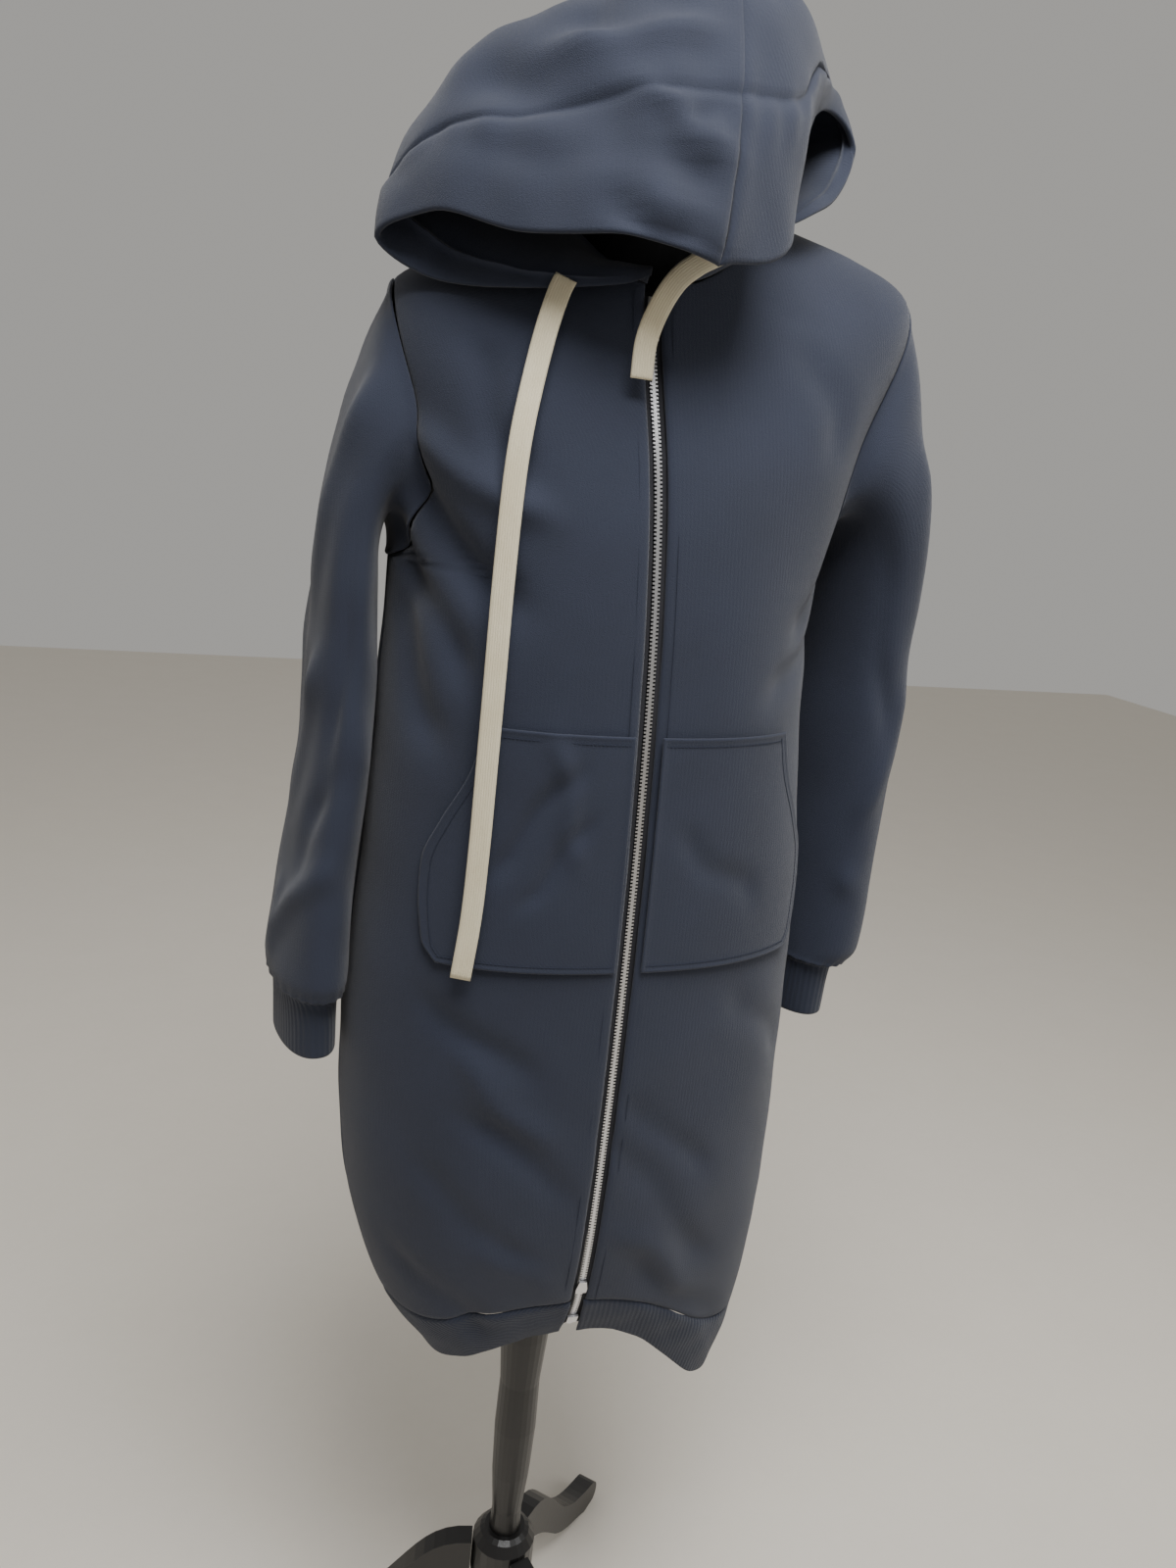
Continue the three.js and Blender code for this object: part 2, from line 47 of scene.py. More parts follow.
AXIS = [(POLE_BOX[0][k] + POLE_BOX[1][k]) / 2 for k in (0, 1)]   # the stand's axis in the frame
VIEW_TURN, VIEW_DOWN, VIEW_ROLL = math.radians(-19), math.radians(15.5), math.radians(6.0)
VIEW_AWAY, VIEW_SIDE, VIEW_HEIGHT = 1.03, 0.006, 1.30
GARMENT_BODY, MM = "garment_and_form", 0.001


def turned(x, y, z):
    c, s = math.cos(VIEW_TURN), math.sin(VIEW_TURN)
    return Vector((c * x - s * y, s * x + c * y, z))


ahead = Vector((0, math.cos(VIEW_DOWN), -math.sin(VIEW_DOWN)))
level_up = Vector((0, math.sin(VIEW_DOWN), math.cos(VIEW_DOWN)))
across = math.cos(VIEW_ROLL) * Vector((1, 0, 0)) + math.sin(VIEW_ROLL) * level_up
up = math.cos(VIEW_ROLL) * level_up - math.sin(VIEW_ROLL) * Vector((1, 0, 0))
camera = bpy.data.objects.new("camera", bpy.data.cameras.new("camera"))
bpy.context.scene.collection.objects.link(camera)
camera.data.sensor_width, camera.data.lens = 36, 27
axes = Matrix([turned(*across), turned(*up), -turned(*ahead)]).transposed().to_4x4()
place = turned(VIEW_SIDE, -VIEW_AWAY, VIEW_HEIGHT) + Vector((AXIS[0], AXIS[1], 0))
camera.matrix_world = Matrix.Translation(place) @ axes
bpy.context.scene.camera = camera


def new_material(name, roughness, metallic=0.0, sheen=0.0):
    """A material with its shader and the nodes' makers ready to hand."""
    material = bpy.data.materials.new(name)
    material.use_nodes = True
    nodes = material.node_tree.nodes
    shader = nodes["Principled BSDF"]
    shader.inputs["Roughness"].default_value = roughness
    shader.inputs["Metallic"].default_value = metallic
    shader.inputs["Sheen Weight"].default_value = sheen
    shader.inputs["Sheen Roughness"].default_value = 0.45
    return material, nodes, material.node_tree.links, shader


def finish_group(name):
    """Uneven colour and a fine bump shared by the finishes: two tones broken by two noises."""
    group = bpy.data.node_groups.new(name, "ShaderNodeTree")
    for label, kind, default in (("Dark", "NodeSocketColor", None), ("Light", "NodeSocketColor", None),
                                 ("Patch Scale", "NodeSocketFloat", 9.0),
                                 ("Grain Scale", "NodeSocketFloat", 900.0),
                                 ("Grain Depth", "NodeSocketFloat", 0.0003),
                                 ("Stripe Scale", "NodeSocketFloat", 0.0),
                                 ("Stripe Depth", "NodeSocketFloat", 0.0)):
        socket = group.interface.new_socket(name=label, in_out="INPUT", socket_type=kind)
        if default is not None:
            socket.default_value = default
    group.interface.new_socket(name="Color", in_out="OUTPUT", socket_type="NodeSocketColor")
    group.interface.new_socket(name="Normal", in_out="OUTPUT", socket_type="NodeSocketVector")
    n, link = group.nodes, group.links.new
    given, out = n.new("NodeGroupInput"), n.new("NodeGroupOutput")
    coords = n.new("ShaderNodeTexCoord")
    patch, grain = n.new("ShaderNodeTexNoise"), n.new("ShaderNodeTexNoise")
    patch.inputs["Detail"].default_value, grain.inputs["Detail"].default_value = 4, 3
    link(coords.outputs["Object"], patch.inputs["Vector"])
    link(coords.outputs["Object"], grain.inputs["Vector"])
    link(given.outputs["Patch Scale"], patch.inputs["Scale"])
    link(given.outputs["Grain Scale"], grain.inputs["Scale"])
    both = n.new("ShaderNodeMath")
    both.operation = "MULTIPLY_ADD"
    both.inputs[1].default_value = 0.45
    link(grain.outputs["Fac"], both.inputs[0])
    tone = n.new("ShaderNodeMath")
    tone.operation = "MULTIPLY"
    tone.inputs[1].default_value = 0.55
    link(patch.outputs["Fac"], tone.inputs[0])
    link(tone.outputs[0], both.inputs[2])
    mix = n.new("ShaderNodeMix")
    mix.data_type = "RGBA"
    link(both.outputs[0], mix.inputs["Factor"])
    link(given.outputs["Dark"], mix.inputs["A"])
    link(given.outputs["Light"], mix.inputs["B"])
    link(mix.outputs["Result"], out.inputs["Color"])
    stripe, scaled = n.new("ShaderNodeTexWave"), n.new("ShaderNodeMath")
    stripe.inputs["Distortion"].default_value = 0.6
    link(coords.outputs["UV"], stripe.inputs["Vector"])
    link(given.outputs["Stripe Scale"], stripe.inputs["Scale"])
    scaled.operation = "MULTIPLY"
    link(stripe.outputs["Fac"], scaled.inputs[0])
    link(given.outputs["Stripe Depth"], scaled.inputs[1])
    height, bump = n.new("ShaderNodeMath"), n.new("ShaderNodeBump")
    height.operation = "MULTIPLY_ADD"
    link(grain.outputs["Fac"], height.inputs[0])
    link(given.outputs["Grain Depth"], height.inputs[1])
    link(scaled.outputs[0], height.inputs[2])
    bump.inputs["Distance"].default_value = 1.0
    link(height.outputs[0], bump.inputs["Height"])
    link(bump.outputs["Normal"], out.inputs["Normal"])
    return group


FINISH = finish_group("uneven_finish")


def finished(name, dark, light, roughness, metallic=0.0, sheen=0.0, **sizes):
    material, nodes, links, shader = new_material(name, roughness, metallic, sheen)
    group = nodes.new("ShaderNodeGroup")
    group.node_tree = FINISH
    group.inputs["Dark"].default_value = (*dark, 1)
    group.inputs["Light"].default_value = (*light, 1)
    for key, value in sizes.items():
        group.inputs[key.replace("_", " ").title()].default_value = value
    links.new(group.outputs["Color"], shader.inputs["Base Color"])
    links.new(group.outputs["Normal"], shader.inputs["Normal"])
    return material


floor_size = 6.0
floor = bpy.data.objects.new("floor", bpy.data.meshes.new("floor"))
floor.data.from_pydata([(sx * floor_size, sy * floor_size, -0.0005) for sx, sy in
                        ((-1, -1), (1, -1), (1, 1), (-1, 1))], [], [(0, 1, 2, 3)])
bpy.context.scene.collection.objects.link(floor)
floor.data.materials.append(finished("pale_floor", (0.74, 0.69, 0.61), (0.8, 0.75, 0.67), 0.8,
                                     grain_scale=60.0, grain_depth=0.0002))
world = bpy.data.worlds.new("studio")
world.use_nodes = True
world.node_tree.nodes["Background"].inputs["Color"].default_value = (0.92, 0.9, 0.86, 1)
world.node_tree.nodes["Background"].inputs["Strength"].default_value = 0.42
bpy.context.scene.world = world
for name, where, size, power in (("ceiling", (-0.1, -0.9, 2.9), 1.1, 70), ("side", (1.9, -1.2, 1.9), 1.2, 12)):
    lamp = bpy.data.objects.new(name, bpy.data.lights.new(name, "AREA"))
    lamp.data.size, lamp.data.energy = size, power
    lamp.location = where
    aim = Vector((0, 0, 1.15)) - Vector(where)
    lamp.rotation_mode = "QUATERNION"
    lamp.rotation_quaternion = aim.to_track_quat("-Z", "Y")
    bpy.context.scene.collection.objects.link(lamp)

# ---- Body of the sweater: two fronts and a back in thick fleece, sewn at the sides and shoulders.
# Rings from the hem's edge to the neck seam give its form, and creases are pressed into it.
WALL, ZIP_HALF = 2.4, 7.25
BODY = [
    # at  zip_x right left mid_y front back  z_zip z_right z_left z_back power back_x
    (0.00, 3, 128, 186, -10, 104, 92, 514, 478, 436, 470, 2.8, 10),
    (0.06, 3, 170, 206, -10, 124, 106, 566, 540, 515, 545, 2.4, 8),
    (0.15, 3, 199, 213, -10, 137, 114, 645, 640, 636, 640, 2.4, 6),
    (0.30, 4, 210, 206, -10, 141, 117, 800, 800, 800, 800, 2.4, 4),
    (0.45, 3, 199, 196, -10, 141, 108, 960, 960, 960, 960, 2.4, 3),
    (0.58, -1, 189, 180, -8, 143, 98, 1100, 1100, 1100, 1100, 2.4, 1),
    (0.69, -6, 182, 186, -4, 144, 98, 1205, 1208, 1215, 1215, 2.4, 2),
    (0.79, -11, 188, 212, 0, 138, 98, 1290, 1310, 1335, 1325, 2.5, 8),
    (0.88, -14, 196, 246, 2, 116, 90, 1357, 1406, 1446, 1400, 2.5, 12),
    (0.94, -15, 140, 190, 4, 106, 78, 1392, 1444, 1481, 1445, 2.3, 14),
    (1.00, -15, 76, 104, 5, 100, 62, 1426, 1478, 1500, 1485, 2.1, 16),
]
DROOP_LEFT, DROOP_RIGHT, DROOP_FADES = 52, 14, 0.2
ARM_LOW, ARM_HIGH, ARM_FRONT, ARM_BACK = 0.69, 0.89, math.radians(26), math.radians(28.6)
HEM = 0.055


def smooth(a, b, x):
    t = np.clip((x - a) / (b - a), 0, 1)
    return t * t * (3 - 2 * t)


def row_at(table, t):
    """The table's columns at t (its first column), eased through the rows on both sides."""
    rows = np.array(table, float)
    t = np.clip(np.asarray(t, float), rows[0, 0], rows[-1, 0])
    last = len(rows) - 1
    i = np.clip(np.searchsorted(rows[:, 0], t, side="right") - 1, 0, last - 1)
    a, b, c, d = (rows[np.clip(i + k, 0, last)] for k in (-1, 0, 1, 2))
    h = (c[..., 0] - b[..., 0])[..., None]
    s = ((t - b[..., 0]))[..., None] / h
    before, after = c[..., :1] - a[..., :1], d[..., :1] - b[..., :1]
    m1 = np.where((i > 0)[..., None], (c - a) / np.where(before == 0, 1, before) * h, c - b)
    m2 = np.where((i + 2 <= last)[..., None], (d - b) / np.where(after == 0, 1, after) * h, c - b)
    v = ((2 * s**3 - 3 * s**2 + 1) * b + (s**3 - 2 * s**2 + s) * m1
         + (3 * s**2 - 2 * s**3) * c + (s**3 - s**2) * m2)
    return [v[..., k] for k in range(1, rows.shape[1])]


def signed_pow(a, e):
    return np.sign(a) * np.abs(a) ** e


def body(th, v):
    zip_x, right, left, mid_y, front, back, z_zip, z_right, z_left, z_back, power, back_x = row_at(BODY, v)
    c, s, e = np.cos(th), np.sin(th), 2 / power
    z_side = np.where(s > 0, z_left, z_right)
    z = z_side + (np.where(c > 0, z_zip, z_back) - z_side) * c * c
    droop = np.where(c > 0, np.where(s > 0, DROOP_LEFT, DROOP_RIGHT) * (2 * s * c) ** 2, 0)
    z = z - droop * (1 - smooth(0, DROOP_FADES, v))
    x = zip_x + (back_x - zip_x) * (1 - c) / 2 + np.where(s > 0, left, right) * signed_pow(s, e)
    return np.stack([x, mid_y - np.where(c > 0, front, back) * signed_pow(c, e), z], -1)


def normal_of(f, u, v, d=1e-3):
    n = np.cross(f(u + d, v) - f(u - d, v), f(u, v + d) - f(u, v - d))
    return n / np.maximum(np.linalg.norm(n, axis=-1, keepdims=True), 1e-9)


def body_out(th, v, off):
    return body(th, v) + normal_of(body, th, v) * off


def angle_at(x, v):
    columns = row_at(BODY, v)
    right, left, power = columns[1], columns[2], columns[10]
    return np.sign(x) * np.arcsin(np.clip(np.abs(x) / np.where(np.asarray(x) > 0, left, right), 0, 1) ** (power / 2))


def arm_angle(v):
    mid, half = (ARM_LOW + ARM_HIGH) / 2, (ARM_HIGH - ARM_LOW) / 2
    return np.where((v <= ARM_LOW) | (v >= ARM_HIGH), 0, np.arccos(np.clip((mid - v) / half, -1, 1)))


# Creases: a soft trough (depth > 0) or ridge (depth < 0) along a line, millimetres about the stand.
CREASES = [
    # from x, y, z        to x, y, z         width depth
    (-186, -60, 1270, -120, -128, 1196, 15, 9),     # right underarm drag, into the hollow
    (-186, -40, 1225, -140, -112, 1140, 13, 7),
    (-178, -80, 1300, -100, -138, 1255, 12, -5),
    (-190, -50, 1180, -160, -100, 1080, 16, 5),
    (-150, -105, 1370, -120, -125, 1290, 14, 4),
    (-60, -150, 1060, -110, -140, 985, 9, 3.2),     # over the right pocket
    (-45, -152, 1020, -85, -148, 960, 8, 2.4),
    (-70, -150, 1085, -50, -152, 1000, 9, -2.2),
    (-150, -120, 860, -70, -148, 800, 12, 3.2),     # right skirt, falling to the zip
    (-120, -135, 810, -50, -150, 740, 10, -3),
    (-110, -138, 760, -30, -148, 690, 11, 3.6),
    (-140, -115, 700, -60, -140, 620, 13, 3.6),
    (-90, -130, 640, -20, -130, 580, 12, -3.2),
    (-150, -90, 610, -80, -120, 530, 13, 4),
    (30, -148, 770, 100, -140, 700, 10, 3),         # left skirt
    (25, -146, 720, 120, -128, 600, 12, 3.8),
    (40, -142, 640, 110, -130, 560, 12, -3.4),
    (60, -138, 600, 150, -100, 500, 12, 3.6),
    (120, -130, 860, 180, -90, 790, 14, 3),
    (150, -100, 700, 190, -60, 600, 14, 3.5),
    (190, -60, 1250, 150, -115, 1180, 15, 6),       # left underarm
    (180, -50, 1190, 120, -130, 1130, 14, 3.5),
    (120, -110, 1400, 150, -110, 1330, 16, 3),
    (60, -105, 1440, 120, -95, 1420, 10, 2.5),
    (40, -152, 1010, 110, -140, 960, 12, 2),
    (-140, 80, 1240, -60, 95, 1160, 15, 4),         # back, the same kind of drags
    (160, 80, 1270, 60, 98, 1170, 15, 4),
    (-120, 92, 1060, 40, 100, 1010, 14, 3.5),
    (130, 88, 1040, 0, 100, 960, 14, 3),
    (-150, 85, 780, -40, 106, 700, 15, 4),
    (140, 90, 760, 50, 106, 640, 14, -3.5),
    (-120, 85, 640, -30, 98, 560, 13, 4),
    (120, 80, 620, 170, 40, 520, 13, 4),
    (-60, 75, 1440, 80, 78, 1430, 14, 3),
]


CREASE_GAIN = 1.5     # every crease is pressed this much deeper than its table says


def pressed(p, n, creases, seed=3):
    """Moves the points in along their normals where a crease runs, unevenly along its length."""
    q = np.array(p, float)
    rng = np.random.default_rng(seed)
    for ax, ay, az, bx, by, bz, width, depth in creases:
        a, b = np.array([ax, ay, az], float), np.array([bx, by, bz], float)
        ab = b - a
        t = np.clip(((p - a) @ ab) / (ab @ ab), -0.4, 1.4)
        bend = 0.35 * width * np.sin(rng.uniform(4, 7) * t + rng.uniform(0, 6))
        side = np.cross(ab, [0, 1, 0])
        side = side / max(np.linalg.norm(side), 1e-9)
        near = a + t[..., None] * ab + bend[..., None] * side
        dist = np.linalg.norm(p - near, axis=-1)
        ends = np.exp(-(np.maximum(np.abs(t - 0.5) - 0.35, 0) / 0.28) ** 2)
        q -= n * (CREASE_GAIN * depth * np.exp(-(dist / width) ** 2) * ends)[..., None]
    return q


def lumps(p, size, height, seed):
    """Slow uneven waves over the cloth."""
    rng = np.random.default_rng(seed)
    w = np.zeros(p.shape[:-1])
    for _ in range(7):
        k = rng.normal(0, 1, 3) / size
        w += np.sin(p @ k * 2 * math.pi + rng.uniform(0, 6.3))
    return height * w / 3


def shell(name, p, n, thick, material, ring=False):
    """A closed wall of cloth on the grid p[i, j], face n, thick mm, thinner right at its edges."""
    ni, nj = p.shape[:2]
    if ring:
        p, n = np.concatenate([p, p[:1]]), np.concatenate([n, n[:1]])
    along_i = np.concatenate([np.zeros((1, nj)), np.cumsum(np.linalg.norm(np.diff(p, axis=0), axis=-1), 0)])
    along_j = np.concatenate([np.zeros((len(p), 1)), np.cumsum(np.linalg.norm(np.diff(p, axis=1), axis=-1), 1)], 1)
    to_edge = np.minimum(along_j, along_j[:, -1:] - along_j)
    if not ring:
        to_edge = np.minimum(to_edge, np.minimum(along_i, along_i[-1:] - along_i))
    half = np.asarray(thick) / 2 * (0.35 + 0.65 * np.sqrt(np.clip(to_edge / 1.6, 0, 1)))
    outer, inner = p + n * half[..., None], p - n * half[..., None]
    if ring:
        outer, inner = outer[:-1], inner[:-1]
    count = ni * nj
    points = np.concatenate([outer.reshape(-1, 3), inner.reshape(-1, 3)]) * MM
    points[:, 0] += AXIS[0]
    points[:, 1] += AXIS[1]
    at = lambda i, j, face: face * count + (i % ni) * nj + j
    faces, corners = [], []
    span = ni if ring else ni - 1
    uv = np.stack([along_i, along_j], -1) * MM

    def face(*keys):
        faces.append([at(*k) for k in keys])
        corners.extend(uv[i, j] for i, j, _ in keys)

    for i in range(span):
        for j in range(nj - 1):
            face((i, j, 0), (i + 1, j, 0), (i + 1, j + 1, 0), (i, j + 1, 0))
            face((i, j, 1), (i, j + 1, 1), (i + 1, j + 1, 1), (i + 1, j, 1))
        face((i, 0, 1), (i + 1, 0, 1), (i + 1, 0, 0), (i, 0, 0))
        face((i, nj - 1, 0), (i + 1, nj - 1, 0), (i + 1, nj - 1, 1), (i, nj - 1, 1))
    if not ring:
        for j in range(nj - 1):
            face((0, j, 0), (0, j + 1, 0), (0, j + 1, 1), (0, j, 1))
            face((ni - 1, j, 1), (ni - 1, j + 1, 1), (ni - 1, j + 1, 0), (ni - 1, j, 0))
    mesh = bpy.data.meshes.new(name)
    mesh.from_pydata(points.tolist(), [], faces)
    layer = mesh.uv_layers.new(name="cut")
    layer.data.foreach_set("uv", np.array(corners, np.float32).ravel())
    mesh.shade_smooth()
    piece = bpy.data.objects.new(name, mesh)
    bpy.context.scene.collection.objects.link(piece)
    mesh.materials.append(material)
    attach(piece, GARMENT_BODY)
    a = p[1:, 1:] - p[:-1, :-1]
    b = p[1:, :-1] - p[:-1, 1:]
    area = float(np.linalg.norm(np.cross(a, b), axis=-1).sum() / 2) * MM * MM
    width, length = float(along_i[-1].max() * MM), float(along_j[:, -1].max() * MM)
    return piece, (width, length), area


# The flat sizes are measured on the finished shells themselves. Where a shell fills too little of its
# rectangle the sides are scaled to an assumed fill, which has no source: it is only a guess.
LEAST_FILL, TAKEN_FILL = 0.45, 0.7


def cloth(name, node, p, n, thick, material, ring=False):
    piece, (width, length), area = shell(name, p, n, thick, material, ring)
    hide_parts(node)
    fill = area / (width * length)
    if not LEAST_FILL < fill < 1:
        width, length = width * math.sqrt(fill / TAKEN_FILL), length * math.sqrt(fill / TAKEN_FILL)
    return piece


def with_edges(a, b, count, edge):
    """Even steps from a to b, closer beside both ends, edge being the first short step."""
    inside = np.linspace(a, b, count)
    sign = np.sign(b - a)
    extra = [a + sign * edge * k for k in (0.4, 1, 2)] + [b - sign * edge * k for k in (0.4, 1, 2)]
    return np.array(sorted(set(inside.tolist() + extra), key=lambda x: sign * x))


FLEECE = finished("navy_fleece", (0.0100, 0.0135, 0.0265), (0.023, 0.030, 0.056), 0.92, sheen=0.16,
                  patch_scale=14.0, grain_scale=1500.0, grain_depth=0.0006, stripe_scale=95.0, stripe_depth=0.00006)
RIB = finished("navy_rib", (0.0090, 0.0125, 0.0245), (0.021, 0.028, 0.052), 0.92, sheen=0.14,
               patch_scale=14.0, grain_scale=1500.0, grain_depth=0.0005, stripe_scale=62.0, stripe_depth=0.0004)
SEAM_ROLL, SEAM_WIDE = 1.5, 3.2


def seam_in(p, n, where, first_i=False, last_i=False, first_j=False, last_j=False):
    """Rolls the cloth in beside the borders that are sewn."""
    ai = np.concatenate([np.zeros((1, p.shape[1])), np.cumsum(np.linalg.norm(np.diff(p, axis=0), axis=-1), 0)])
    aj = np.concatenate([np.zeros((p.shape[0], 1)), np.cumsum(np.linalg.norm(np.diff(p, axis=1), axis=-1), 1)], 1)
    drop = np.zeros(p.shape[:2])
    for on, d in ((first_i, ai), (last_i, ai[-1:] - ai), (first_j, aj), (last_j, aj[:, -1:] - aj)):
        if on:
            drop = np.maximum(drop, np.exp(-(d / SEAM_WIDE) ** 2))
    return p - n * (where * drop)[..., None]


ROWS = with_edges(HEM, 1.0, 150, 0.0025)
for name, side in (("front_left", 1), ("front_right", -1)):
    u = with_edges(0, 1, 44, 0.007)
    v = ROWS[None, :] + 0 * u[:, None]
    edge = angle_at(side * ZIP_HALF, v)
    th = edge + (side * (math.pi / 2 - ARM_FRONT * np.sin(arm_angle(v))) - edge) * u[:, None] ** 0.9
    if side < 0:
        th = th[::-1]
    p, n = body(th, v), normal_of(body, th, v)
    p = pressed(p, n, CREASES) + n * lumps(p, 150, 0.9, 5)[..., None]
    p = seam_in(p, n, SEAM_ROLL, first_i=side < 0, last_i=side > 0, first_j=True)
    p = seam_in(p, n, 1.0, first_i=side > 0, last_i=side < 0)
    cloth(f"cloth_{name}", name, p, n, WALL, FLEECE)
u = with_edges(0, 1, 70, 0.004)
v = ROWS[None, :] + 0 * u[:, None]
start = math.pi / 2 + ARM_BACK * np.sin(arm_angle(v))
th = start + (2 * math.pi - 2 * start) * u[:, None]
p, n = body(th, v), normal_of(body, th, v)
p = pressed(p, n, CREASES) + n * lumps(p, 150, 1.2, 5)[..., None]
p = seam_in(p, n, SEAM_ROLL, first_i=True, last_i=True, first_j=True)
cloth("cloth_back", "back", p, n, WALL, FLEECE)

# ---- Hem band: a doubled strip of rib from one side of the zip to the other, gathered on.
u = with_edges(float(angle_at(ZIP_HALF, HEM / 2)), 2 * math.pi + float(angle_at(-ZIP_HALF, HEM / 2)), 150, 0.02)
v = with_edges(0.0, HEM, 14, 0.0015)
th, v = u[:, None] + 0 * v[None, :], v[None, :] + 0 * u[:, None]
p, n = body(th, v), normal_of(body, th, v)
p = pressed(p, n, CREASES) + n * lumps(p, 60, 0.9, 8)[..., None]
p = seam_in(p, n, 1.8, last_j=True)
cloth("cloth_hem_band", "hem_band", p, n, WALL, RIB)

# ---- Pockets: the two halves of a kangaroo pocket, each topstitched down on its front,
# their turned edges standing up as a soft roll.
PATCH = WALL + 0.3 + 1.0
POCKET = [
    # at    v     reach
    (0.00, 0.393, 150), (0.08, 0.408, 160), (0.42, 0.470, 162), (0.60, 0.503, 150),
    (0.80, 0.540, 132), (1.00, 0.577, 122),
]
POCKET_ROLL, ROLL_WIDE = 1.5, 4.0
for name, side, more in (("pocket_left", 1, 8), ("pocket_right", -1, 0)):
    def pocket(u, b):
        at, reach = row_at(POCKET, b)
        x = side * (ZIP_HALF + 4 + (reach + more - ZIP_HALF - 4) * u)
        return body_out(angle_at(x, at), at, PATCH)
    u, b = with_edges(0, 1, 44, 0.012), with_edges(0, 1, 56, 0.01)
    uu, bb = (u[:, None] + 0 * b[None, :]), (b[None, :] + 0 * u[:, None])
    p, n = pocket(uu, bb), normal_of(pocket, uu, bb) * side
    if side < 0:
        p, n = p[::-1], n[::-1]
    p = pressed(p, n, CREASES)
    p = seam_in(p, n, -POCKET_ROLL * 0.7, True, True, True, True)
    cloth(f"cloth_{name}", name, p, n, WALL, FLEECE)

# ---- Sleeves and cuffs: hanging tubes set into the armholes, each gathered into a ribbed cuff.
SLEEVES = {
    -1: [
        # at    x    y     z  long short turn
        (0.00, -208, 2, 1330, 86, 12, 0), (0.14, -218, 4, 1255, 78, 20, 0), (0.30, -220, 2, 1150, 70, 25, 0),
        (0.50, -222, -2, 1050, 68, 26, -4), (0.75, -234, -6, 940, 66, 26, -8), (0.94, -240, -10, 858, 66, 29, -10),
        (1.00, -240, -10, 842, 60, 26, -10), (1.05, -240, -10, 836, 52, 23, -10), (1.20, -239, -10, 784, 50, 22, -10),
    ],
    1: [
        (0.00, 226, 0, 1365, 86, 40, 0), (0.14, 236, 2, 1290, 80, 34, 10), (0.30, 245, 8, 1180, 70, 34, 22),
        (0.50, 248, 10, 1080, 68, 34, 26), (0.75, 250, 8, 965, 66, 33, 26), (0.94, 248, 4, 866, 64, 32, 24),
        (1.00, 244, 2, 848, 54, 27, 20), (1.05, 242, 2, 842, 46, 23, 20), (1.20, 240, 2, 790, 44, 22, 20),
    ],
}
SEAM_LIFT, SLEEVE_BLEND, UNDERARM_DIP, SLEEVE_POWER = 0.9, 0.22, 30, 2.3
SLEEVE_CREASES = [
    (-222, -60, 1330, -248, -20, 1180, 12, 5), (-215, -70, 1250, -235, -62, 1060, 10, -4),
    (-240, -40, 1120, -262, 0, 1010, 12, 5), (-225, -60, 1040, -258, -45, 960, 11, -4),
    (-235, -70, 960, -268, -20, 890, 11, 4), (-230, 60, 1180, -240, 50, 1030, 13, 4),
    (-250, -10, 930, -270, -15, 870, 9, 3), (-220, 70, 960, -250, 50, 870, 11, 4),
    (262, -70, 1330, 270, -40, 1180, 13, 4), (230, -70, 1230, 268, -58, 1090, 12, -4),
    (285, -40, 1120, 262, -60, 1000, 12, 4), (280, 20, 1080, 285, -10, 950, 12, 4),
    (240, 70, 1200, 270, 60, 1050, 13, 4), (262, -50, 940, 278, -20, 875, 10, 4),
]


def on_body(th, v, off):
    """A point on the creased body, so that what is sewn to it follows its folds."""
    p, n = body(th, v), normal_of(body, th, v)
    return pressed(p, n, CREASES) + n * (off + lumps(p, 150, 0.9, 5))[..., None]


def armhole(side, k):
    a = 2 * math.pi * k
    front = k < 0.5
    th = np.where(front, math.pi / 2 - ARM_FRONT * np.sin(a), math.pi / 2 - ARM_BACK * np.sin(a))
    v = (ARM_LOW + ARM_HIGH) / 2 - (ARM_HIGH - ARM_LOW) / 2 * np.cos(a)
    return on_body(side * th, v, SEAM_LIFT)


def sleeve(side, k, t):
    x, y, z, long, short, turn = row_at(SLEEVES[side], t)
    al, tr, e = 2 * math.pi * k, np.radians(turn), 2 / SLEEVE_POWER
    out, along = -short * signed_pow(np.cos(al), e), -long * signed_pow(np.sin(al), e)
    p = np.stack([x + side * (out * np.cos(tr) - along * np.sin(tr)), y + out * np.sin(tr) + along * np.cos(tr),
                  z - UNDERARM_DIP * np.cos(al) * (1 - smooth(0, 0.25, t))], -1)
    m = np.sin(math.pi / 2 * np.clip(t / SLEEVE_BLEND, 0, 1))[..., None]
    return armhole(side, np.mod(k, 1)) * (1 - m) + p * m


for side, word in ((-1, "right"), (1, "left")):
    k = np.linspace(0, 1, 97)[:-1]
    if side < 0:
        k = k[::-1]
    f = lambda k, t: sleeve(side, k, t)
    for part, t, roll, gather in (("sleeve", with_edges(0, 1.0, 110, 0.004), 1.4, 1.3),
                                  ("cuff", with_edges(1.001, 1.2, 16, 0.006), 0.6, 0.2)):
        kk, tt = k[:, None] + 0 * t[None, :], t[None, :] + 0 * k[:, None]
        p, n = f(kk, tt), normal_of(f, kk, tt) * side
        if part == "sleeve":
            p = pressed(p, n, SLEEVE_CREASES) + n * lumps(p, 110, 0.9, 9 + side)[..., None]
            puff = np.exp(-((tt - 1.0) / 0.035) ** 2) * np.sin(kk * 2 * math.pi * 23) * 0.7
            p = p + n * (puff + 1.5 * np.exp(-((tt - 0.03) / 0.03) ** 2))[..., None]
        p = seam_in(p, n, roll, first_j=True, last_j=part == "sleeve")
        cloth(f"cloth_{part}_{word}", f"{part}_{word}", p, n, WALL, FLEECE if part == "sleeve" else RIB,
              ring=True)

